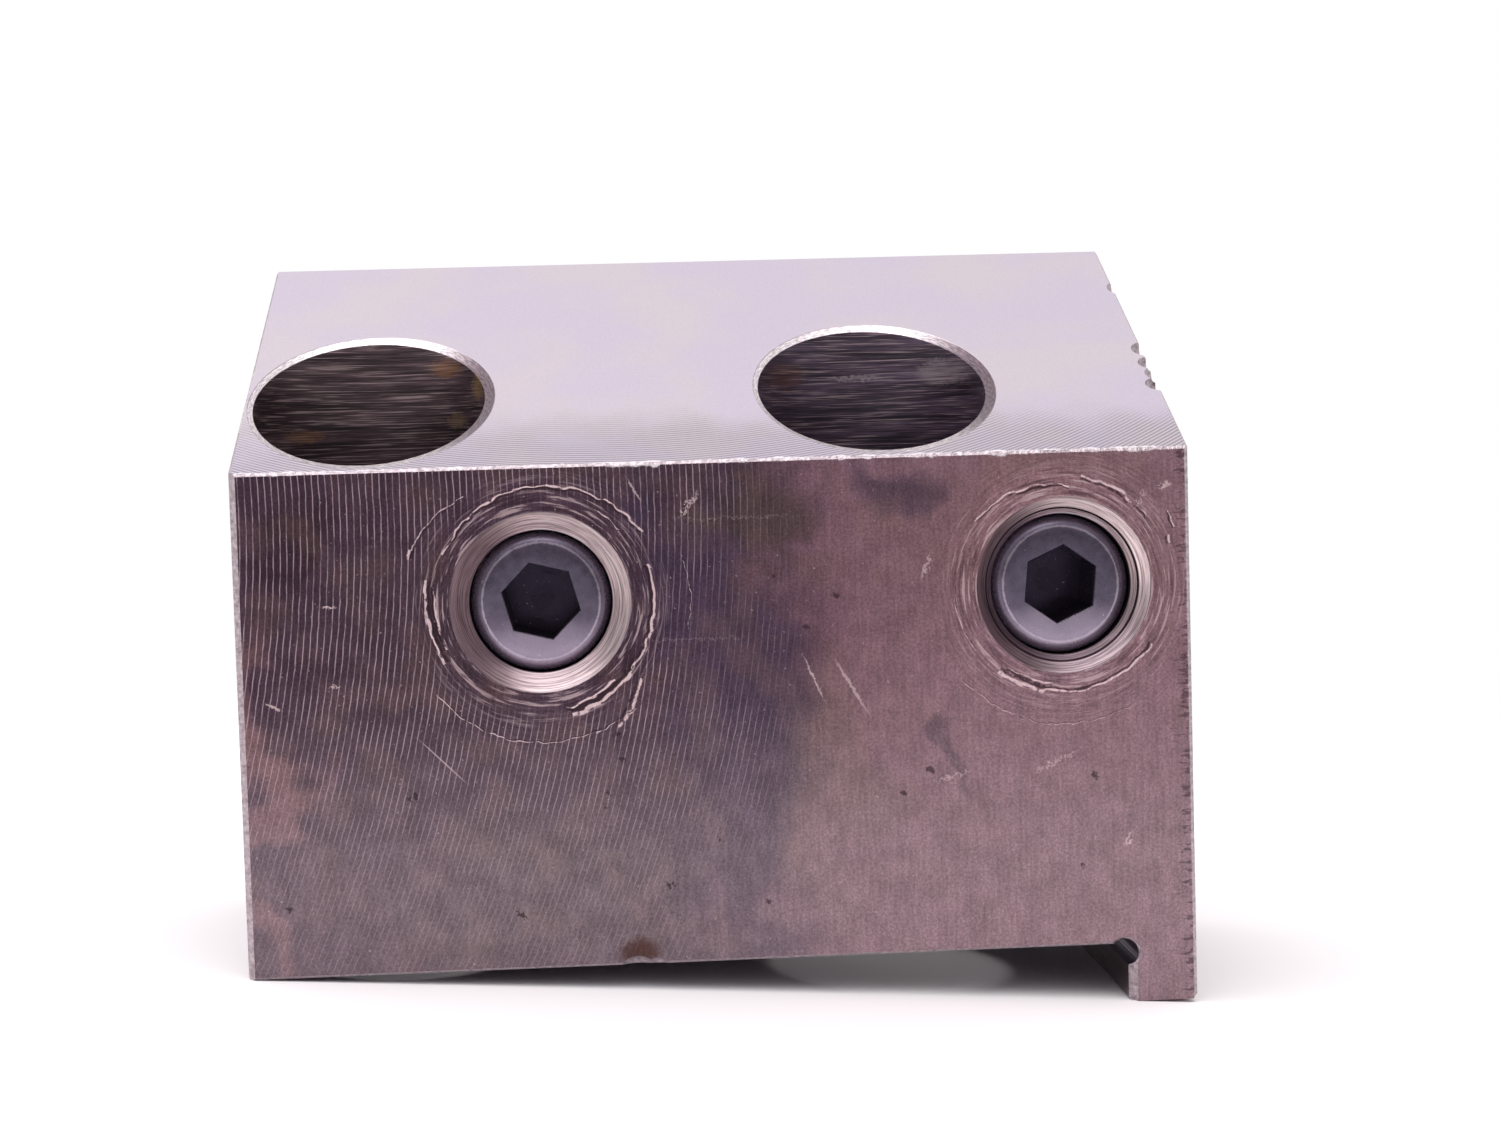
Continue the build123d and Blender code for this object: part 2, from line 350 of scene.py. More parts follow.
front_stains = (
    # middle, size, tilt, strength, colour
    ((-45.5, 46.5), (9.0, 9.0), 0, 0.7, "#33252e"),
    ((-33.0, 30.0), (16.0, 20.0), 20, 0.3, "#463a40"),
    ((0.5, 27.0), (8.0, 40.0), 6, 0.7, "#4a3c50"),
    ((1.5, 50.0), (9.0, 6.0), 0, 0.6, "#514440"),
    ((19.0, 50.5), (6.0, 4.5), 0, 0.7, "#453b4c"),
    ((33.0, 46.0), (22.0, 12.0), 0, 0.35, "#7a5a58"),
    ((-48.5, 17.0), (3.5, 26.0), -3, 0.6, "#8a666a"),
    ((-20.0, 8.0), (26.0, 10.0), 0, 0.35, "#4c4745"),
    ((10.0, 20.0), (10.0, 22.0), 10, 0.4, "#77655f"),
    ((27.5, 18.5), (2.2, 4.5), 0, 0.5, "#4a3d48"),
)
for middle, size, tilt, strength, colour in front_stains:
    stain = oval(tree, stain_map, middle, size, tilt, edge=0.75, strength=strength)
    front_colour = add(tree, "Mix", {0: stain, 4: front_colour, 5: linear(colour)}, **as_colour)
hue = add(tree, "TexNoise", {"Vector": front_map, "Scale": 0.18, "Detail": 3.0}, **flat)
hue = add(tree, "MapRange", {
    "Value": hue, "From Min": 0.42, "From Max": 0.68, "To Max": 0.18}, **smooth)
front_colour = add(tree, "Mix", {0: hue, 4: front_colour, 5: brown_film}, **as_colour)
# The front turns paler and lighter towards its foot.
paler_to_foot = add(tree, "MapRange", {"Value": z, "From Min": 34.0, "From Max": 8.0, "To Max": 0.4}, **smooth)
front_colour = add(tree, "Mix", {0: paler_to_foot, 4: front_colour, 5: foot_steel}, **as_colour)

foot_lightness = add(tree, "MapRange", {"Value": to_right, "To Min": 1.25, "To Max": 1.1}, **smooth)
lighter_to_foot = add(tree, "MapRange", {
    "Value": z, "From Min": 34.0, "From Max": 8.0, "To Min": 1.0, "To Max": foot_lightness}, **smooth)
cloud = add(tree, "TexNoise", {
    "Vector": front_map, "Scale": 0.35, "Detail": 5.0, "Roughness": 0.6}, **flat)
clouded = add(tree, "MapRange", {
    "Value": cloud, "From Min": 0.3, "From Max": 0.7, "To Min": 0.9, "To Max": 1.1}, **smooth)
streak_map = add(tree, "Mapping", {
    "Vector": front_map, "Rotation": (0, 0, radians(8)), "Scale": (2.6, 0.22, 1)})
streaks = add(tree, "TexNoise", {"Vector": streak_map, "Scale": 1.0, "Detail": 3.0}, **flat)
streaked = add(tree, "MapRange", {
    "Value": streaks, "From Min": 0.3, "From Max": 0.7, "To Min": 0.92, "To Max": 1.08}, **smooth)
grain = add(tree, "TexNoise", {"Vector": place, "Scale": 3.6, "Detail": 3.0, "Roughness": 0.7})
grained = add(tree, "MapRange", {
    "Value": grain, "From Min": 0.32, "From Max": 0.68, "To Min": 0.78, "To Max": 1.22}, **smooth)
mottled = lighter_to_foot
for noise in (clouded, streaked, grained):
    mottled = add(tree, "Math", {0: mottled, 1: noise}, operation="MULTIPLY")
front_colour = add(tree, "Mix", {0: mottled, 4: black, 5: front_colour}, **shaded)
print(len(front_stains), "stains lie on the front")

# %% [markdown]
# ## The front: cutter lines
# A face mill leaves one curved line for each turn. Here a line stands every 0.7 mm, on a circle of
# 112 mm radius, and only the left part of the face still shows them. A sideways step of such a
# circle is the same curve again, so the lines are a fold of x minus the circle's own bow.

# %% Cutter lines
line_pitch = 0.70
line_circle = 112.0
line_level = 49.0
line_half_width = 0.09

fall = add(tree, "Math", {0: z, 1: line_level}, operation="SUBTRACT")
squared = add(tree, "Math", {0: fall, 1: fall}, operation="MULTIPLY")
rest = add(tree, "Math", {0: line_circle ** 2, 1: squared}, operation="SUBTRACT")
bow = add(tree, "Math", {0: rest}, operation="SQRT")
across = add(tree, "Math", {0: x, 1: bow}, operation="SUBTRACT")
wobble = add(tree, "TexNoise", {"Vector": front_map, "Scale": 0.5, "Detail": 1.0}, **flat)
across = add(tree, "Math", {0: wobble, 1: 0.16, 2: across}, operation="MULTIPLY_ADD")
fold = add(tree, "Math", {0: across, 1: line_pitch / 2}, operation="PINGPONG")
line = add(tree, "MapRange", {"Value": fold, "From Min": line_half_width, "From Max": 0.0}, **smooth)
broken = add(tree, "TexNoise", {
    "Vector": front_map, "Scale": 0.3, "Detail": 3.0, "Roughness": 0.75}, **flat)
broken = add(tree, "MapRange", {
    "Value": broken, "From Min": 0.34, "From Max": 0.62, "To Min": 0.3}, **smooth)
faint_foot = add(tree, "MapRange", {
    "Value": z, "From Min": 4.0, "From Max": 32.0, "To Min": 0.4}, **smooth)
fading = add(tree, "MapRange", {
    "Value": stain_x, "From Min": 6.0, "From Max": -8.0, "To Min": 0.03}, **smooth)
rubbed = add(tree, "MapRange", {
    "Value": from_clamp, "From Min": 11.0, "From Max": 14.5, "To Min": 0.1}, **smooth)
cutter_lines = line
for wear in (broken, fading, rubbed, faint_foot):
    cutter_lines = add(tree, "Math", {0: cutter_lines, 1: wear}, operation="MULTIPLY")
print("A cutter line runs every", line_pitch, "mm")

# %% [markdown]
# ## The front: scars round the screws
# Keys and chips have dug arcs round each screw. Every strong one is written by its bearing and
# radius at both ends. The faint ones beside them are a noise that is stretched round the screw, which
# gives fine arcs of many lengths. A quick noise makes each scar ragged, strong here and weak there.

# %% Scars round the screws
scars = {
    "left": (
        # (bearing, radius) at the start and at the end, width, strength
        ((152, 11.3), (33, 12.9), 0.26, 1.0),
        ((58, 11.4), (41, 11.2), 0.22, 0.8),
        ((167, 12.0), (211, 11.6), 0.44, 1.1),
        ((170, 11.3), (205, 11.0), 0.30, -0.8),
        ((124, 13.8), (158, 14.5), 0.24, 0.7),
        ((156, 14.6), (160, 14.6), 0.40, 1.0),
        ((-76, 12.2), (-40, 11.8), 0.60, 1.2),
        ((-78, 11.7), (-48, 11.4), 0.36, -1.1),
        ((-40, 11.9), (18, 11.8), 0.42, 1.1),
        ((-39, 13.1), (-60, 15.5), 0.60, 0.8),
        ((17, 15.7), (-12, 15.8), 0.14, 0.5),
        ((-140, 14.6), (-50, 15.0), 0.18, 0.6),
    ),
    "right": (
        ((143, 11.7), (86, 10.6), 0.28, 0.9),
        ((80, 11.6), (51, 11.4), 0.44, 1.1),
        ((51, 11.4), (38, 11.4), 0.20, 0.7),
        ((34, 13.5), (26, 13.1), 0.28, 0.9),
        ((24, 12.3), (20, 12.1), 0.45, 0.9),
        ((-129, 11.4), (-102, 11.2), 0.50, 1.2),
        ((-126, 10.8), (-98, 10.7), 0.26, -0.8),
        ((-102, 11.2), (-35, 11.3), 0.34, 1.0),
        ((178, 11.7), (215, 11.8), 0.16, 0.5),
        ((-140, 14.8), (-60, 14.9), 0.16, 0.5),
    ),
}
ragged = add(tree, "TexNoise", {
    "Vector": front_map, "Scale": 1.7, "Detail": 2.0, "Roughness": 0.7}, **flat)
wander = add(tree, "TexNoise", {"Vector": front_map, "Scale": 0.6, "Detail": 1.0}, **flat)
wander = add(tree, "MapRange", {"Value": wander, "To Min": -0.25, "To Max": 0.25}, **smooth)
wander_radius = add(tree, "Math", {0: from_clamp, 1: wander}, operation="ADD")
side_relief = {}
for side in scars:
    relief = 0.0
    for start, end, width, strength in scars[side]:
        scar = round_scratch(tree, wander_radius, clamp_bearing, start, end, width)
        relief = add(tree, "Math", {0: scar, 1: strength, 2: relief}, operation="MULTIPLY_ADD")
    side_relief[side] = relief
scar_relief = add(tree, "Mix", {0: on_right, 2: side_relief["left"], 3: side_relief["right"]})
scar_strength = add(tree, "MapRange", {
    "Value": ragged, "From Min": 0.3, "From Max": 0.62, "To Min": 0.45, "To Max": 1.3}, **smooth)
scar_relief = add(tree, "Math", {0: scar_relief, 1: scar_strength}, operation="MULTIPLY")

bearing_x = add(tree, "Math", {0: clamp_bearing}, operation="COSINE")
bearing_z = add(tree, "Math", {0: clamp_bearing}, operation="SINE")
ring_map = add(tree, "CombineXYZ", {0: bearing_x, 1: from_clamp, 2: bearing_z})
fine_map = add(tree, "Mapping", {"Vector": ring_map, "Scale": (2.2, 2.8, 2.2)})
fine = add(tree, "TexNoise", {"Vector": fine_map, "Scale": 1.0, "Detail": 3.0, "Roughness": 0.65})
fine = add(tree, "MapRange", {
    "Value": fine, "From Min": 0.36, "From Max": 0.64, "To Min": -0.5, "To Max": 0.5}, **smooth)
near = add(tree, "MapRange", {"Value": from_clamp, "From Min": 17.0, "From Max": 10.5}, **smooth)
fine_relief = add(tree, "Math", {0: fine, 1: near}, operation="MULTIPLY")
scar_relief = add(tree, "Math", {0: fine_relief, 1: scar_relief}, operation="ADD")
print(len(scars["left"]), "scars lie round the left screw and", len(scars["right"]), "round the right")

# %% [markdown]
# ## The front: pits, nicks and straight scratches
# A few pits and scratches can be told one by one, and they are placed on a map that a fine noise makes
# ragged. A pit is what a small ball leaves that sinks into the face. Hundreds of tiny bright nicks can't
# be told apart, and a fine noise above a high threshold stands for them. Near the right edge the nicks
# turn into short cuts across the edge.

# %% Pits and nicks
pit_ball = 0.8
pits = (
    # x, z, radius
    (22.2, 19.7, 0.45), (40.0, 18.5, 0.4), (-5.5, 8.4, 0.3), (-6.1, 8.4, 0.35), (-32.5, 18.9, 0.4),
    (-33.2, 18.8, 0.35), (-46.1, 7.4, 0.4), (6.15, 40.9, 0.3), (12.6, 38.7, 0.4), (9.2, 35.5, 0.4),
    (-21.9, 5.85, 0.45), (19.3, 17.3, 0.35), (-12.6, 16.9, 0.3), (-12.3, 18.6, 0.3),
    (-10.5, 22.0, 0.35), (-11.0, 24.8, 0.35), (4.5, 6.2, 0.35), (-0.5, 13.0, 0.3), (38.5, 8.7, 0.35),
)
scratches = (
    # middle, size, tilt, strength
    ((10.0, 30.0), (4.6, 0.16), -67, 0.6), ((14.0, 29.0), (5.5, 0.28), -60, 0.5),
    ((22.3, 41.5), (2.6, 0.3), 70, 0.5), ((-40.8, 39.2), (1.3, 0.22), -5, 0.9),
    ((-47.0, 28.9), (1.6, 0.2), -25, 0.7), ((2.0, 47.3), (12.0, 0.10), 0, 0.2),
    ((-2.0, 34.6), (9.0, 0.10), 0, 0.18), ((-40.6, 30.9), (1.0, 0.2), 10, 0.7),
    ((36.0, 20.2), (5.0, 0.18), 25, 0.5), ((43.5, 11.5), (1.5, 0.3), 65, 0.7),
    ((-29.5, 22.5), (5.5, 0.14), -45, 0.5), ((24.5, 18.9), (3.6, 0.2), 15, 0.5),
    ((-2.8, 48.8), (3.0, 0.2), 50, 0.7), ((-8.5, 50.6), (2.4, 0.2), -60, 0.6),
    ((48.2, 49.3), (1.2, 0.5), 20, 0.8), ((45.5, 48.0), (2.2, 0.16), 60, 0.5),
)
rag = add(tree, "MapRange", {"Value": ragged, "To Min": -0.45, "To Max": 0.45}, **smooth)
rag_x = add(tree, "Math", {0: x, 1: rag}, operation="ADD")
rag_z = add(tree, "Math", {0: z, 1: rag}, operation="SUBTRACT")
rag_map = add(tree, "CombineXYZ", {0: rag_x, 1: rag_z, 2: 1.0})
from_ball = pit_ball
for pit_x, pit_z, radius in pits:
    ball_middle = (pit_x, pit_z, 1.0 + sqrt(pit_ball ** 2 - radius ** 2))
    from_pit = add(tree, "VectorMath", {0: rag_map, 1: ball_middle}, out=1, operation="DISTANCE")
    from_ball = add(tree, "Math", {0: from_pit, 1: from_ball}, operation="MINIMUM")
pit_mask = add(tree, "MapRange", {
    "Value": from_ball, "From Min": pit_ball, "From Max": pit_ball - 0.06}, **smooth)
scratch_mask = 0.0
for middle, size, tilt, strength in scratches:
    scratch = oval(tree, rag_map, middle, size, tilt, 0.5, strength)
    scratch_mask = add(tree, "Math", {0: scratch, 1: scratch_mask}, operation="MAXIMUM")
nicks = add(tree, "TexNoise", {
    "Vector": front_map, "Scale": 2.1, "Detail": 4.0, "Roughness": 0.6}, **flat)
nicks = add(tree, "MapRange", {
    "Value": nicks, "From Min": 0.70, "From Max": 0.80, "To Max": 0.6}, **smooth)

cut_map = add(tree, "Mapping", {"Vector": front_map, "Scale": (0.55, 2.6, 1)})
edge_cuts = add(tree, "TexNoise", {
    "Vector": cut_map, "Scale": 1.0, "Detail": 2.0, "Roughness": 0.6}, **flat)
cut_reach = add(tree, "MapRange", {
    "Value": x, "From Min": 47.6, "From Max": 50.4, "To Min": 0.80, "To Max": 0.50}, **smooth)
edge_cuts = add(tree, "Math", {0: edge_cuts, 1: cut_reach}, operation="SUBTRACT")
edge_cuts = add(tree, "MapRange", {"Value": edge_cuts, "From Max": 0.08}, **smooth)
print(len(pits), "pits and", len(scratches), "straight scratches are placed by hand")

# %% [markdown]
# ## The front: all of it
# The burrs' painted highlight and the furrows' painted shade come from the one relief, light where it
# rises and dark where it falls, and the cuts at the right edge are painted dark as well. Only the fine
# arcs and the cuts at the right edge go into the bump as well, because all that goes there is worked
# out three more times for each point of the picture.

# %% Front finish
strip_mauve = linear("#bda3ac")
bright_cut_and_highlight = linear("#dcc3c6")
painted_furrow_shade = linear("#33252b")
line_mark_and_glint_pink = linear("#c9b2bd")
painted_pit_shade = linear("#392b31")
rust = linear("#4d3128")
burr_white = linear("#fdf8fb")
arc_height = 0.05
cut_depth = 0.08

# The cutter lines are lighter, partly as a real mark and partly as a painted glint of their edges.
line_mark_and_glint = add(tree, "Math", {0: cutter_lines, 1: 0.75}, operation="MULTIPLY")
# Furrows and the cuts at the right edge are darkened with painted shade.
furrow_shade = add(tree, "MapRange", {
    "Value": scar_relief, "From Min": -0.15, "From Max": -0.8, "To Max": 0.8}, **smooth)
cut_shade = add(tree, "Math", {0: edge_cuts, 1: 0.55}, operation="MULTIPLY")
furrow_shade = add(tree, "Math", {0: furrow_shade, 1: cut_shade}, operation="MAXIMUM")
# The burrs get a painted highlight, and real scratches and nicks are lighter too.
scars_and_burr_highlight = add(tree, "MapRange", {
    "Value": scar_relief, "From Min": 0.15, "From Max": 0.8, "To Max": 0.95}, **smooth)
for mark in (scratch_mask, nicks):
    scars_and_burr_highlight = add(tree, "Math", {0: scars_and_burr_highlight, 1: mark}, operation="MAXIMUM")
# The pits are darkened as painted shade in their hollows.
pit_shade = add(tree, "Math", {0: pit_mask, 1: 0.75}, operation="MULTIPLY")
rusted = oval(tree, rag_map, (-9.4, 1.3), (3.6, 2.8), edge=0.5, strength=0.8)
below_edge = add(tree, "Math", {0: front_height, 1: z}, operation="SUBTRACT")
below_edge = add(tree, "Math", {0: ragged, 1: -0.4, 2: below_edge}, operation="MULTIPLY_ADD")
below_edge = add(tree, "Math", {0: cloud, 1: -1.4, 2: below_edge}, operation="MULTIPLY_ADD")
edge_burr = add(tree, "MapRange", {
    "Value": below_edge, "From Min": -0.65, "From Max": -0.9, "To Max": 0.85}, **smooth)
from_end = add(tree, "Math", {0: x}, operation="ABSOLUTE")
from_end = add(tree, "Math", {0: ragged, 1: 1.4, 2: from_end}, operation="MULTIPLY_ADD")
end_strip = add(tree, "MapRange", {"Value": from_end, "From Min": block_high.x + 0.2,
                                   "From Max": block_high.x + 0.6, "To Max": 0.8}, **smooth)
for mask, shade in (
    (line_mark_and_glint, line_mark_and_glint_pink), (furrow_shade, painted_furrow_shade), (scars_and_burr_highlight, bright_cut_and_highlight), (pit_shade, painted_pit_shade), (rusted, rust),
    (end_strip, strip_mauve), (edge_burr, burr_white),
):
    front_colour = add(tree, "Mix", {0: mask, 4: front_colour, 5: shade}, **as_colour)

front_relief = add(tree, "Math", {0: fine_relief, 1: arc_height}, operation="MULTIPLY")
front_relief = add(tree, "Math", {
    0: edge_cuts, 1: -cut_depth, 2: front_relief}, operation="MULTIPLY_ADD")
print(len(tree.nodes), "nodes with the whole front")

# %% [markdown]
# ## The sloping top
# The top was cut last and has kept its bright metal. A fly cutter left faint arcs on it, best seen
# near the front edge, where they dull it. Along that edge stands a white burr with a ragged rim.

# %% Top finish
top_steel = linear("#d1c5d5")
top_cream = linear("#d6c9ce")
top_arc_pitch = 0.46
fly_centre = (-10.0, 70.0, 0.0)

top_cloud = add(tree, "TexNoise", {"Vector": top_map, "Scale": 0.07, "Detail": 4.0}, **flat)
creamy = add(tree, "MapRange", {
    "Value": top_cloud, "From Min": 0.38, "From Max": 0.66, "To Max": 0.6}, **smooth)
from_fly = add(tree, "VectorMath", {0: top_map, 1: fly_centre}, out=1, operation="DISTANCE")
fly = add(tree, "Math", {0: from_fly, 1: top_arc_pitch / 2}, operation="PINGPONG")
fly = add(tree, "MapRange", {"Value": fly, "From Max": top_arc_pitch / 2, "To Min": 0.5}, **smooth)
fly_reach = add(tree, "Math", {0: top_cloud, 1: -14.0, 2: up_slope}, operation="MULTIPLY_ADD")
fly_here = add(tree, "MapRange", {"Value": fly_reach, "From Min": 6.0, "From Max": -4.0}, **smooth)
top_shade = add(tree, "Mix", {0: fly_here, 2: 1.0, 3: fly})
top_grain = add(tree, "MapRange", {
    "Value": grain, "From Min": 0.3, "From Max": 0.7, "To Min": 0.96, "To Max": 1.04}, **smooth)
top_shade = add(tree, "Math", {0: top_shade, 1: top_grain}, operation="MULTIPLY")
to_front_edge = add(tree, "Math", {0: ragged, 1: -0.4, 2: up_slope}, operation="MULTIPLY_ADD")
to_front_edge = add(tree, "Math", {0: cloud, 1: -1.2, 2: to_front_edge}, operation="MULTIPLY_ADD")
top_burr = add(tree, "MapRange", {
    "Value": to_front_edge, "From Min": -0.4, "From Max": -0.65}, **smooth)
top_colour = add(tree, "Mix", {0: creamy, 4: top_steel, 5: top_cream}, **as_colour)
top_colour = add(tree, "Mix", {0: top_shade, 4: black, 5: top_colour}, **shaded)
top_colour = add(tree, "Mix", {0: top_burr, 4: top_colour, 5: burr_white}, **as_colour)
print("An arc of the fly cutter crosses the top every", top_arc_pitch, "mm")

# %% [markdown]
# ## The bores and their mouths
# A boring bar left rings in each bore: broad bands, and on them thin streaks, bright and dark, that
# run a part of the way round. Both are noises that change fast along the bore and slowly round it.
# Oil has darkened them, brown on the left and violet on the right, and a few spots have rusted. The
# mouths were broken by hand with a scraper, so their narrow rims are ribbed. They are bright, except
# on their right.

# %% Bore finish
band_map = add(tree, "Mapping", {"Vector": place, "Scale": (0.05, 0.05, 0.9)})
bands = add(tree, "TexNoise", {"Vector": band_map, "Scale": 1.0, "Detail": 4.0, "Roughness": 0.6})
bands = add(tree, "MapRange", {
    "Value": bands, "From Min": 0.35, "From Max": 0.65, "To Min": 0.5, "To Max": 1.3}, **smooth)
thin_map = add(tree, "Mapping", {"Vector": place, "Scale": (0.16, 0.16, 8.0)})
thin = add(tree, "TexNoise", {"Vector": thin_map, "Scale": 1.0, "Detail": 2.0, "Roughness": 0.6})
bright_thin = add(tree, "MapRange", {
    "Value": thin, "From Min": 0.54, "From Max": 0.68, "To Max": 0.6}, **smooth)
dark_thin = add(tree, "MapRange", {
    "Value": thin, "From Min": 0.34, "From Max": 0.48, "To Min": 0.3}, **smooth)
bore_shade = add(tree, "Math", {0: bands, 1: dark_thin}, operation="MULTIPLY")
bore_colour = add(tree, "Mix", {0: on_right, 4: linear("#4c3b41"), 5: linear("#4e3f50")}, **as_colour)
bore_colour = add(tree, "Mix", {0: bore_shade, 4: black, 5: bore_colour}, **shaded)
bore_colour = add(tree, "Mix", {0: bright_thin, 4: bore_colour, 5: linear("#b49ea0")}, **as_colour)
bore_marks = (
    # middle, size, strength, colour
    ((-29.3, 64.5), (3.0, 1.6), 0.55, "#8a5c34"), ((-25.4, 62.3), (1.2, 2.4), 0.6, "#a08052"),
    ((-45.6, 57.2), (3.4, 1.2), 0.5, "#8d6440"), ((-28.2, 58.6), (2.0, 1.4), 0.45, "#927a5c"),
    ((27.9, 62.6), (4.0, 2.4), 0.45, "#a8989c"), ((9.5, 62.5), (4.0, 2.6), 0.4, "#6a4436"),
    ((18.0, 62.2), (4.5, 0.5), 0.5, "#ab9aa4"),
)
for middle, size, strength, colour in bore_marks:
    mark = oval(tree, rag_map, middle, size, edge=0.6, strength=strength)
    mark = add(tree, "Math", {0: mark, 1: dark_thin}, operation="MULTIPLY")
    bore_colour = add(tree, "Mix", {0: mark, 4: bore_colour, 5: linear(colour)}, **as_colour)

rib_map = add(tree, "CombineXYZ", {0: bore_bearing, 1: above_top})
ribs = add(tree, "TexNoise", {
    "Vector": rib_map, "Scale": 16.0, "Detail": 3.0, "Roughness": 0.6}, **flat)
ribbed = add(tree, "MapRange", {
    "Value": ribs, "From Min": 0.3, "From Max": 0.7, "To Min": 0.55, "To Max": 1.2}, **smooth)
rim_side = add(tree, "Math", {0: bore_bearing}, operation="COSINE")
rim_side = add(tree, "MapRange", {"Value": rim_side, "From Min": 0.35, "From Max": 0.95}, **smooth)
mouth_colour = add(tree, "Mix", {0: rim_side, 4: linear("#e9dde2"), 5: linear("#7d6b74")}, **as_colour)
mouth_colour = add(tree, "Mix", {0: ribbed, 4: black, 5: mouth_colour}, **shaded)
print(len(bore_marks), "marks lie in the bores")

# %% [markdown]
# ## The screws' holes
# The cones where the screws go in are covered with fine rings from the tool. A painted highlight
# makes them shine at the top, they are greyer below, and painted shade makes them on the left as dark
# as the front. The right cone is the darker one below, and a dark line of painted shade runs round it
# at a step.

# %% Cone finish
step_radius = 8.25
turn_map = add(tree, "Mapping", {"Vector": ring_map, "Scale": (1.5, 9.0, 1.5)})
turned = add(tree, "TexNoise", {"Vector": turn_map, "Scale": 1.0, "Detail": 3.0, "Roughness": 0.7})
turned = add(tree, "MapRange", {
    "Value": turned, "From Min": 0.34, "From Max": 0.64, "To Min": 0.5, "To Max": 1.4}, **smooth)
# Painted highlight at the top of each cone and painted shade on its left.
cone_top_highlight = add(tree, "MapRange", {"Value": bearing_z, "From Min": -0.8, "From Max": 0.8}, **smooth)
cone_left_shade = add(tree, "MapRange", {
    "Value": bearing_x, "From Min": 0.1, "From Max": -0.8, "To Max": 0.9}, **smooth)
cone_foot = add(tree, "Mix", {0: on_right, 4: linear("#b9a6aa"), 5: linear("#8b7a80")}, **as_colour)
cone_colour = add(tree, "Mix", {0: cone_top_highlight, 4: cone_foot, 5: linear("#f2dcdc")}, **as_colour)
cone_colour = add(tree, "Mix", {0: cone_left_shade, 4: cone_colour, 5: linear("#6d575f")}, **as_colour)
cone_colour = add(tree, "Mix", {0: turned, 4: black, 5: cone_colour}, **shaded)
# A dark line of painted shade at a step on the right cone.
step_shade_line = add(tree, "Math", {0: from_clamp, 1: step_radius, 2: 0.10}, operation="COMPARE")
step_shade_line = add(tree, "Math", {0: step_shade_line, 1: on_right}, operation="MULTIPLY")
cone_colour = add(tree, "Mix", {0: step_shade_line, 4: cone_colour, 5: painted_furrow_shade}, **as_colour)
print("The cones' finish reaches", cone_radius, "mm from the screws' axes")

# %% [markdown]
# ## All surfaces together
# Each surface has a mask, and the finishes are laid over each other from the general to the special:
# the plain ground sides first, then the seat, the top and the front, then the worn edges, and the
# holes last. A mask ends a little way off its surface, so that it covers the whole of it. The cones'
# finish has no limit in depth, so it also lies round the same holes at the back. The seat is painted
# dark purple so that the shade in the gap under the block takes its tint, and the oil in the bores
# hides so much of the metal that they are only half metallic.

# %% Steel, put together
hole_colour = linear("#66575f")
bright_roughness = 0.36
front_roughness = 0.44
wear_height = 0.12
oiled_metal = 0.5
side_map = add(tree, "Mapping", {"Vector": place, "Scale": (0.15, 0.15, 3.0)})
side_grain = add(tree, "TexNoise", {"Vector": side_map, "Scale": 1.0, "Detail": 4.0})
side_grain = add(tree, "Math", {0: side_grain, 1: clouded}, operation="MULTIPLY")
side_colour = add(tree, "Mix", {0: side_grain, 4: linear("#5c4e55"), 5: linear("#9d8d93")}, **as_colour)
# The seat's dark purple tints the painted shade in the gap under the block.
seat_shade_tint = add(tree, "Mix", {0: grained, 4: black, 5: linear("#48304a")}, **shaded)
edge_colour = add(tree, "Mix", {0: ragged, 4: linear("#5f4f57"), 5: linear("#dccdd3")}, **as_colour)

from_relief = add(tree, "Mapping", {"Vector": place, "Location": -relief_middle, "Scale": (1, 0, 1)})
from_relief = add(tree, "VectorMath", {0: from_relief}, out=1, operation="LENGTH")
bolt_x = add(tree, "Math", {0: x}, operation="ABSOLUTE")
from_bolt = add(tree, "CombineXYZ", {0: bolt_x, 1: y})
from_bolt = add(tree, "VectorMath", {0: from_bolt, 1: seat_bolt}, out=1, operation="DISTANCE")


def surface_mask(tree, *ranges):
    """1 where every value is inside and 0 elsewhere. A range is a value, outside and inside."""
    mask = 1.0
    for value, outside, inside in ranges:
        within = add(tree, "MapRange", {
            "Value": value, "From Min": outside, "From Max": inside}, **smooth)
        mask = add(tree, "Math", {0: within, 1: mask}, operation="MULTIPLY")
    return mask


on_seat = add(tree, "Math", {0: z, 1: 0.0, 2: 0.03}, operation="COMPARE")
on_top = surface_mask(tree, (above_top, -0.08, -0.03))
on_front = surface_mask(tree, (depth, 0.08, 0.03))
on_edge = surface_mask(tree, (squareness, 0.97, 0.92))
in_relief = surface_mask(tree, (from_relief, relief_radius + 0.06, relief_radius + 0.02))
in_bolt_hole = surface_mask(
    tree, (from_bolt, seat_bolt_radius + 0.05, seat_bolt_radius),
    (z, bolt_hole_reach + 1.0, bolt_hole_reach))
on_mouth = surface_mask(
    tree, (from_bore, mouth_radius + 0.1, mouth_radius), (above_top, -0.01, -0.03),
    (z, mouth_foot, mouth_foot + 0.5), (depth, 0.10, 0.15), (x, block_low.x + 0.03, block_low.x + 0.08))
in_bore = surface_mask(tree, (from_bore, bore_radius + 0.05, bore_radius + 0.02))
on_cone = surface_mask(tree, (from_clamp, cone_radius + 0.06, cone_radius + 0.02), (depth, 0.02, 0.04))
in_hole = surface_mask(tree, (from_clamp, screw_hole_radius + 0.07, screw_hole_radius + 0.03))

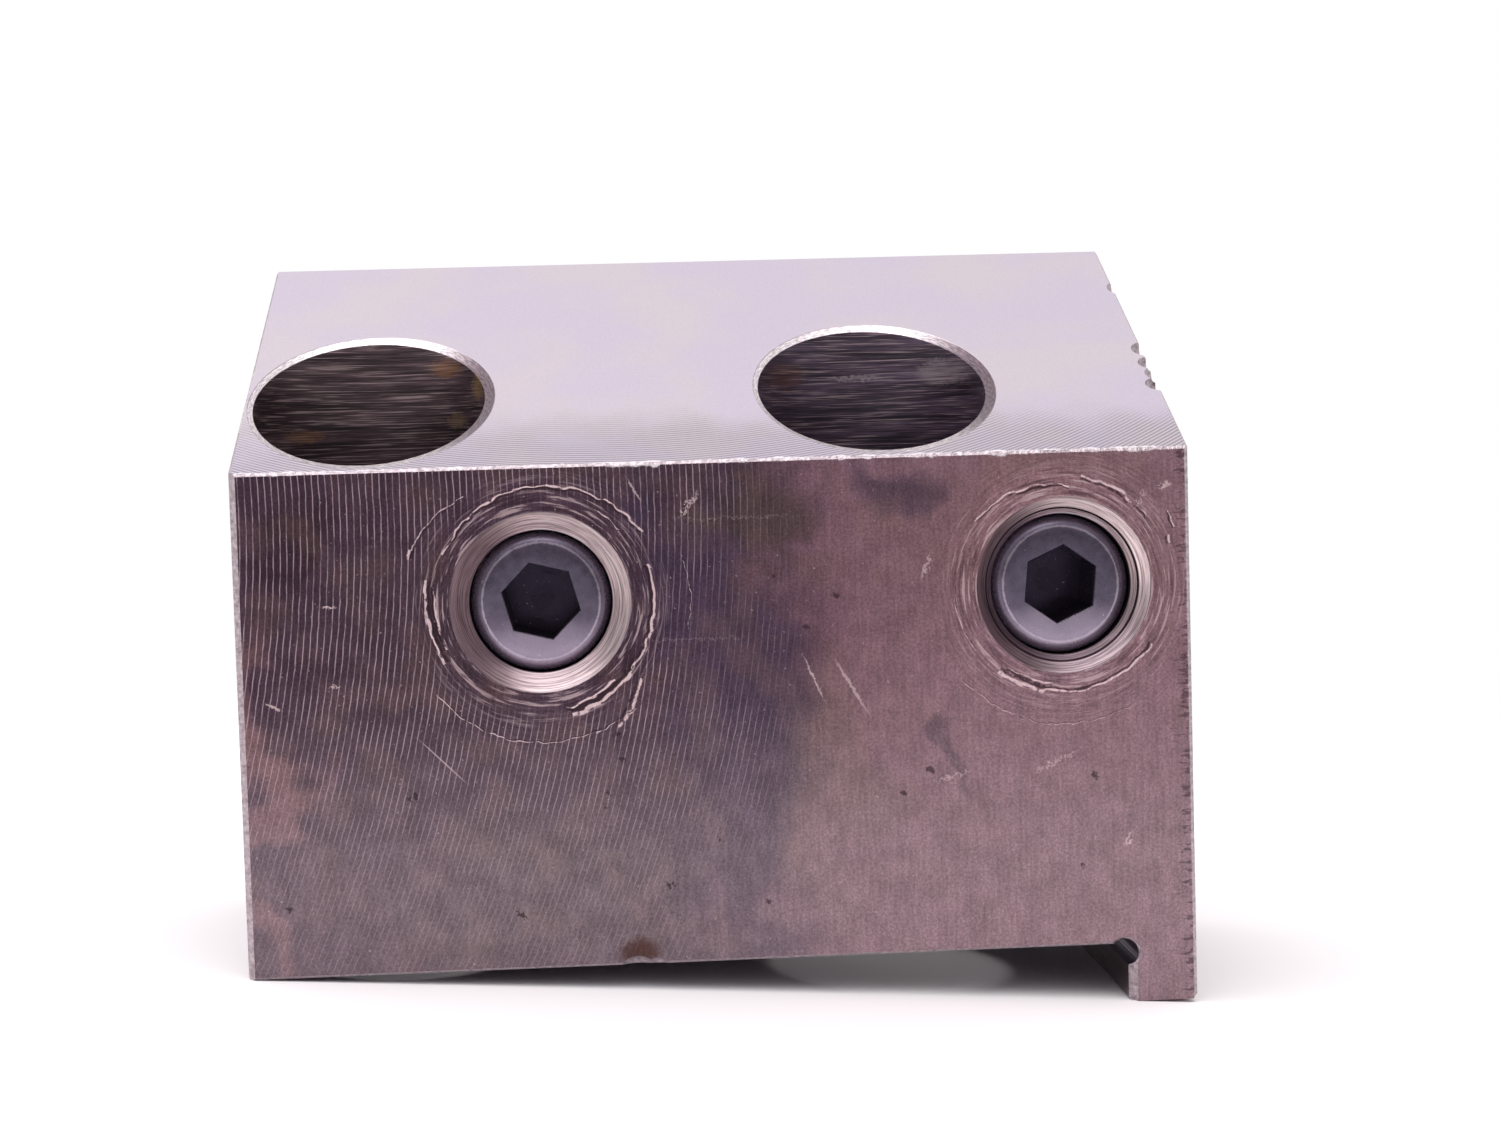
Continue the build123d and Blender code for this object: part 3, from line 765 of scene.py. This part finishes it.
colour = side_colour
for mask, finish in (
    (on_seat, seat_shade_tint), (on_top, top_colour), (on_front, front_colour), (on_edge, edge_colour),
    (in_relief, seat_shade_tint), (in_bolt_hole, hole_colour), (on_mouth, mouth_colour),
    (in_bore, bore_colour), (on_cone, cone_colour), (in_hole, hole_colour),
):
    colour = add(tree, "Mix", {0: mask, 4: colour, 5: finish}, **as_colour)

rough = add(tree, "Mix", {0: on_front, 2: bright_roughness, 3: front_roughness})
relief = add(tree, "Math", {0: on_front, 1: front_relief}, operation="MULTIPLY")
edge_relief = add(tree, "Math", {0: on_edge, 1: ragged}, operation="MULTIPLY")
for hollow in (in_bore, in_hole, on_cone, on_mouth):
    edge_relief = add(tree, "Mix", {0: hollow, 2: edge_relief, 3: 0.0})
relief = add(tree, "Math", {0: edge_relief, 1: wear_height, 2: relief}, operation="MULTIPLY_ADD")
bump = add(tree, "Bump", {"Strength": 1.0, "Distance": MM, "Height": relief})
bare_metal = add(tree, "Mix", {0: in_bore, 2: 1.0, 3: oiled_metal})
surface = add(tree, "BsdfPrincipled", {
    "Base Color": colour, "Metallic": bare_metal, "Roughness": rough, "Normal": bump})
add(tree, "OutputMaterial", {"Surface": surface})
block = frame["nodes"]["block"]
block.data.materials.clear()
block.data.materials.append(steel)
print(len(tree.nodes), "nodes in the block's steel")

# %% [markdown]
# ## The wedge nuts
# Each nut is plain turned steel, and most of it hides in its hole. Fine rings from the lathe, four to
# the millimetre and grey with old oil, are all that it needs.

# %% Nut steel
nut_steel = empty_material("turned_nut_steel")
tree = nut_steel.node_tree
place = add(tree, "TexCoord", {}, out="Object")
lathe = add(tree, "Mapping", {"Vector": place, "Scale": (0.3 / MM, 4 / MM, 0.3 / MM)})
rings = add(tree, "TexNoise", {"Vector": lathe, "Scale": 1.0, "Detail": 4.0})
nut_colour = add(tree, "Mix", {0: rings, 6: linear("#6d6366"), 7: linear("#a2989b")}, **as_rgba)
surface = add(tree, "BsdfPrincipled", {"Base Color": nut_colour, "Metallic": 1.0, "Roughness": 0.38})
add(tree, "OutputMaterial", {"Surface": surface})
for side in clamps:
    nut = frame["nodes"]["wedge_nut_" + side]
    nut.data.materials.clear()
    nut.data.materials.append(nut_steel)
print("Both nuts are", nut_steel.name.replace("_", " "))

# %% [markdown]
# ## The cap screws: the head
# A cap screw is forged, its socket is pushed in with a hexagonal punch, and its thread is rolled. The
# head is drawn here from the inside out: a hexagon and a circle are joined by a ring of faces, which
# is the flat. The circle is then pulled back in steps, as the outline of the head goes, and the
# hexagon is pushed in to make the socket.

# %% Head sizes
screw_low, screw_high = (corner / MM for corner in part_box("clamp_screw_left"))
screw_axis = clamps["left"]
head_radius = (screw_high.x - screw_low.x) / 2
head_face = screw_low.y
head_height = 9.525
crown_radius = 5.3
flat_radius = 6.25
shoulder = ((0.12, flat_radius), (0.34, 6.75), (0.62, 7.15), (0.95, head_radius))
taper_height = 4.2
seat_radius = 6.05
shank_radius = 9.525 / 2
hex_corner = 7.36 / 2 / cos(radians(30))
hex_break = 0.10
hex_depth = 8.4
hex_turns = {"left": -14.5, "right": 24.3}
dimple_radius = 1.35
dimple_depth = 0.6
dimple_tip = 0.02
inside_flats = 3.0
core_share = 0.8
round_steps = 96
print("Head radius", round(head_radius, 3), "mm, face at", round(head_face - front_y, 3), "mm deep")


# %% Helpers for modelling
def on_axis(depth_from_face):
    """A point of the left screw's axis, in metres."""
    return Vector((screw_axis.x, head_face + depth_from_face, screw_axis.z)) * MM


def pull_ring(back, ratio):
    """Extrudes the selected ring, moves it back along the screw and scales it about the axis."""
    bpy.ops.mesh.extrude_region_move(TRANSFORM_OT_translate={"value": (0, back * MM, 0)})
    bpy.ops.transform.resize(value=(ratio, 1, ratio), center_override=on_axis(0))


def select_ring(piece, depth_from_face, inner, outer):
    """Selects the vertices at one depth whose distance from the axis is in a range, in mm."""
    bpy.ops.mesh.select_mode(type="VERT")
    bpy.ops.mesh.select_all(action="DESELECT")
    bpy.ops.object.mode_set(mode="OBJECT")
    middle = on_axis(depth_from_face)
    for vertex in piece.data.vertices:
        away = vertex.co - middle
        radius = sqrt(away.x ** 2 + away.z ** 2) / MM
        vertex.select = abs(away.y) / MM < 0.01 and inner <= radius <= outer
    bpy.ops.object.mode_set(mode="EDIT")
    bpy.ops.mesh.select_mode(type="EDGE")


# %% Head of a cap screw
upright = radians(90)
bpy.ops.object.select_all(action="DESELECT")
rings = []
for depth_from_face, corners, radius, turn in (
    (0, round_steps, crown_radius, 0), (0, 6, hex_corner + hex_break, hex_turns["left"] + 30),
    (hex_depth, round_steps, dimple_radius, 0),
):
    bpy.ops.mesh.primitive_circle_add(
        vertices=corners, radius=radius * MM, location=on_axis(depth_from_face),
        rotation=(upright, -radians(turn), 0))
    rings.append(bpy.context.object)
    if corners == 6:
        bpy.ops.object.mode_set(mode="EDIT")
        bpy.ops.mesh.subdivide(number_cuts=round_steps // 6 - 1)
        bpy.ops.object.mode_set(mode="OBJECT")
for ring in rings:
    ring.select_set(True)
screw = rings[0]
bpy.context.view_layer.objects.active = screw
bpy.ops.object.join()
screw.name = "cap_screw_left"
bpy.ops.object.transform_apply(location=True, rotation=True, scale=True)
bpy.ops.object.mode_set(mode="EDIT")
select_ring(screw, 0, inside_flats, crown_radius + 0.1)
bpy.ops.mesh.bridge_edge_loops()

select_ring(screw, 0, crown_radius - 0.05, crown_radius + 0.05)
reached = (0, crown_radius)
for ring in (*shoulder, (head_height - taper_height, head_radius), (head_height, seat_radius)):
    pull_ring(ring[0] - reached[0], ring[1] / reached[1])
    reached = ring
pull_ring(0, core_share * shank_radius / seat_radius)
bpy.ops.mesh.edge_face_add()

select_ring(screw, 0, inside_flats, hex_corner + hex_break + 0.05)
pull_ring(hex_break, hex_corner / (hex_corner + hex_break))
pull_ring(hex_depth - hex_break, 1)
select_ring(screw, hex_depth, 0, hex_corner + 0.05)
bpy.ops.mesh.bridge_edge_loops()
select_ring(screw, hex_depth, 0, dimple_radius + 0.05)
pull_ring(dimple_depth, dimple_tip)
bpy.ops.mesh.edge_face_add()
bpy.ops.mesh.select_all(action="SELECT")
bpy.ops.mesh.normals_make_consistent(inside=False)
bpy.ops.object.mode_set(mode="OBJECT")
print("The head has", len(screw.data.polygons), "faces")

# %% [markdown]
# ## The cap screws: the thread
# A 3/8 inch thread has sixteen turns to the inch. Its outline is drawn by pulling one corner after
# the other from a single point, and the Screw modifier winds that outline round the axis. The ends
# are cut flat, and a chamfered blank trims the tip as a die would.

# %% Thread of a cap screw
thread_pitch = 25.4 / 16
thread_depth = 0.61 * thread_pitch
shank_length = screw_high.y - head_face - head_height
tip_break = 1.0
thread_start = head_height - 0.3
spare_turns = 5
turns = int(shank_length / thread_pitch) + spare_turns
thread_steps = 48
tip_spare = 0.5
blank_spare = 4.0

bpy.ops.object.select_all(action="DESELECT")
bpy.ops.mesh.primitive_plane_add(size=MM, location=(0, 0, 0))
thread = bpy.context.object
bpy.ops.object.mode_set(mode="EDIT")
bpy.ops.mesh.select_mode(type="VERT")
bpy.ops.mesh.select_all(action="SELECT")
bpy.ops.mesh.merge(type="CENTER")
bpy.ops.transform.translate(value=(shank_radius * MM, 0, 0))
for inward, along in ((0, 1 / 8), (thread_depth, 3 / 8), (0, 1 / 8), (-thread_depth, 3 / 8)):
    bpy.ops.mesh.extrude_vertices_move(
        TRANSFORM_OT_translate={"value": (-inward * MM, 0, along * thread_pitch * MM)})
bpy.ops.object.mode_set(mode="OBJECT")
winding = thread.modifiers.new("winding", "SCREW")
winding.axis = "Z"
winding.angle = 2 * pi
winding.screw_offset = thread_pitch * MM
winding.iterations = turns
winding.steps = thread_steps
winding.render_steps = thread_steps
bpy.ops.object.modifier_apply(modifier="winding")
print("The thread has", turns, "turns and", len(thread.data.polygons), "faces")

# %% [markdown]
# The winding stands along Z. It is turned to lie along the screw's axis, cut flat at both ends, and
# united with the head. The blank that trims the tip is a cylinder with a bevelled end, and only what
# lies inside it stays.

# %% Head and thread, put together
thread.matrix_world = Matrix.Translation(on_axis(thread_start - 2 * thread_pitch)) @ Matrix.Rotation(
    -upright, 4, "X")
bpy.ops.object.transform_apply(location=True, rotation=True, scale=True)
bpy.ops.object.mode_set(mode="EDIT")
bpy.ops.mesh.select_all(action="SELECT")
bpy.ops.mesh.remove_doubles(threshold=0.005 * MM)
for cut_at, clears in ((thread_start, {"clear_inner": True}),
                       (head_height + shank_length + tip_spare, {"clear_outer": True})):
    bpy.ops.mesh.select_all(action="SELECT")
    bpy.ops.mesh.bisect(plane_co=on_axis(cut_at), plane_no=(0, 1, 0), use_fill=True,
                        threshold=0.0001 * MM, **clears)
bpy.ops.mesh.select_all(action="SELECT")
bpy.ops.mesh.normals_make_consistent(inside=False)
bpy.ops.object.mode_set(mode="OBJECT")

blank_length = shank_length + blank_spare
blank_middle = head_height + shank_length - blank_length / 2
bpy.ops.object.select_all(action="DESELECT")
bpy.ops.mesh.primitive_cylinder_add(
    vertices=round_steps, radius=(shank_radius + 0.01) * MM, depth=blank_length * MM,
    location=on_axis(blank_middle), rotation=(upright, 0, 0))
blank = bpy.context.object
bpy.ops.object.transform_apply(location=True, rotation=True, scale=True)
bpy.ops.object.mode_set(mode="EDIT")
select_ring(blank, head_height + shank_length, 0, head_radius)
bpy.ops.mesh.bevel(offset=tip_break * MM, segments=1)
bpy.ops.object.mode_set(mode="OBJECT")

for piece, other, operation in ((thread, blank, "INTERSECT"), (screw, thread, "UNION")):
    joining = piece.modifiers.new("joining", "BOOLEAN")
    joining.operation = operation
    joining.solver = "EXACT"
    joining.object = other
    bpy.context.view_layer.objects.active = piece
    bpy.ops.object.modifier_apply(modifier="joining")
    bpy.data.objects.remove(other)
bpy.ops.object.select_all(action="DESELECT")
screw.select_set(True)
bpy.ops.object.mode_set(mode="EDIT")
bpy.ops.mesh.select_all(action="SELECT")
bpy.ops.mesh.remove_doubles(threshold=0.001 * MM)
bpy.ops.mesh.select_non_manifold()
bpy.ops.mesh.fill_holes(sides=8)
bpy.ops.object.mode_set(mode="OBJECT")
print("The whole screw has", len(screw.data.polygons), "faces")

# %% [markdown]
# ## The cap screws: the second one
# Both screws are alike, so the right one is a copy with its own mesh. It is moved to its own axis
# and turned about it, because the two sockets stand at different angles.

# %% Two screws
bpy.ops.object.select_all(action="DESELECT")
screw.select_set(True)
bpy.context.view_layer.objects.active = screw
bpy.ops.object.shade_smooth_by_angle(angle=radians(28))

screws = {"left": screw, "right": screw.copy()}
screws["right"].data = screw.data.copy()
screws["right"].name = "cap_screw_right"
bpy.context.scene.collection.objects.link(screws["right"])
to_right_axis = Matrix.Translation(clamps["right"] * MM)
turn = Matrix.Rotation(radians(hex_turns["right"] - hex_turns["left"]), 4, (0, -1, 0))
screws["right"].data.transform(to_right_axis @ turn @ Matrix.Translation(-screw_axis * MM))
print("Screws stand at x", [round(clamp.x, 2) for clamp in clamps.values()])

# %% [markdown]
# ## The cap screws: black oxide
# The screws are blackened by a hot salt bath, which leaves a thin, satin and mottled film. The lower
# side of each head is painted paler, a painted reflection of the pale floor, and the film is paler on
# the rounded shoulder. The socket is painted nearly black as painted shade. The film is rubbed
# through along the rim of the flat and in small specks.

# %% Black oxide
oxide = empty_material("black_oxide_on_alloy_steel")
tree = oxide.node_tree
metres = add(tree, "TexCoord", {}, out="Object")
place = add(tree, "VectorMath", {0: metres, "Scale": 1 / MM}, operation="SCALE")
x, y, z = add(tree, "SeparateXYZ", {0: place}).node.outputs
from_face = add(tree, "Math", {0: y, 1: head_face}, operation="SUBTRACT")
on_right = add(tree, "Math", {0: x, 1: halfway}, operation="GREATER_THAN")
from_screw, screw_bearing = nearest_axis(
    tree, x, z, on_right, {side: (clamp.x, clamp.z) for side, clamp in clamps.items()}, scar_seam)

mottle = add(tree, "TexNoise", {"Vector": place, "Scale": 0.9, "Detail": 5.0, "Roughness": 0.7})
# The socket's film is painted nearly black as painted shade.
inside = add(tree, "MapRange", {"Value": from_face, "From Min": 0.3, "From Max": 1.2})
narrow = add(tree, "MapRange", {
    "Value": from_screw, "From Min": hex_corner + 0.1, "From Max": hex_corner})
socket_shade = add(tree, "Math", {0: inside, 1: narrow}, operation="MULTIPLY")
# The lower side of each head is painted paler: a painted reflection of the pale floor.
painted_floor_reflection = add(tree, "Math", {0: screw_bearing}, operation="SINE")
painted_floor_reflection = add(tree, "MapRange", {
    "Value": painted_floor_reflection, "From Min": -0.3, "From Max": -0.95, "To Max": 0.36}, **smooth)
rounded = add(tree, "MapRange", {
    "Value": from_screw, "From Min": flat_radius, "From Max": head_radius, "To Max": 0.7}, **smooth)
rim = add(tree, "Math", {0: from_screw, 1: flat_radius}, operation="SUBTRACT")
rim = add(tree, "Math", {0: rim}, operation="ABSOLUTE")
rim = add(tree, "Math", {0: mottle, 1: -0.4, 2: rim}, operation="MULTIPLY_ADD")
rim = add(tree, "MapRange", {"Value": rim, "From Min": -0.05, "From Max": -0.15, "To Max": 0.6})
specks = add(tree, "TexNoise", {"Vector": place, "Scale": 2.6, "Detail": 3.0, "Roughness": 0.6})
specks = add(tree, "MapRange", {"Value": specks, "From Min": 0.68, "From Max": 0.78, "To Max": 0.7})
film = linear("#433b4b")
for mask, tone in (
    (mottle, "#736a7c"), (painted_floor_reflection, "#c6b6ca"), (rounded, "#a79bb0"), (socket_shade, "#2e2735"),
    (rim, "#b5a9b6"), (specks, "#cfc4cc"),
):
    film = add(tree, "Mix", {0: mask, 6: film, 7: linear(tone)}, **as_rgba)
rough = add(tree, "MapRange", {"Value": mottle, "To Min": 0.22, "To Max": 0.34})
surface = add(tree, "BsdfPrincipled", {"Base Color": film, "Metallic": 0.9, "Roughness": rough})
add(tree, "OutputMaterial", {"Surface": surface})
for side, piece in screws.items():
    piece.data.materials.clear()
    piece.data.materials.append(oxide)
    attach(piece, "clamp_screw_" + side)
    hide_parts("clamp_screw_" + side)
print(len(screws), "screws are black")
